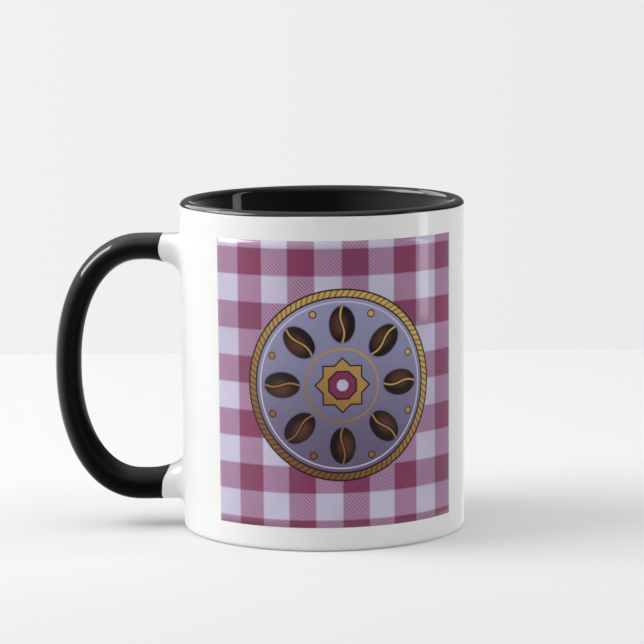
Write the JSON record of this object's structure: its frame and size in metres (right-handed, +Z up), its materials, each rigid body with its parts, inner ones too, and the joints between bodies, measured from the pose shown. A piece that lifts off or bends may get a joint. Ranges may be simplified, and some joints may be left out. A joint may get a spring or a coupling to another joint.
{
  "type": "mug",
  "caption": "Straight-sided glazed ceramic mug with an open C-shaped handle, a rounded lip and a recessed foot, for hot drinks.",
  "frame": {"origin": "bottom centre of the overall box, handle included, on the plane that the mug stands on; the turned body's axis stands 18.12 mm from it along +X", "axes": "+Z up; the handle points to -X and its plane is the XZ plane; +Y is the side away from the printed panel, which faces -Y"},
  "size_m": [0.1182, 0.082, 0.095],
  "materials": {
    "white_glaze": "glossy white glaze",
    "black_glaze": "glossy black glaze, inside, over the lip and on the handle",
    "printed_panel": "glossy fired print in raspberry, lilac, brown and gold",
    "bare_foot": "unglazed, fine and matt"
  },
  "bodies": {
    "root": {"mug": "white_glaze"}
  },
  "joints": []
}
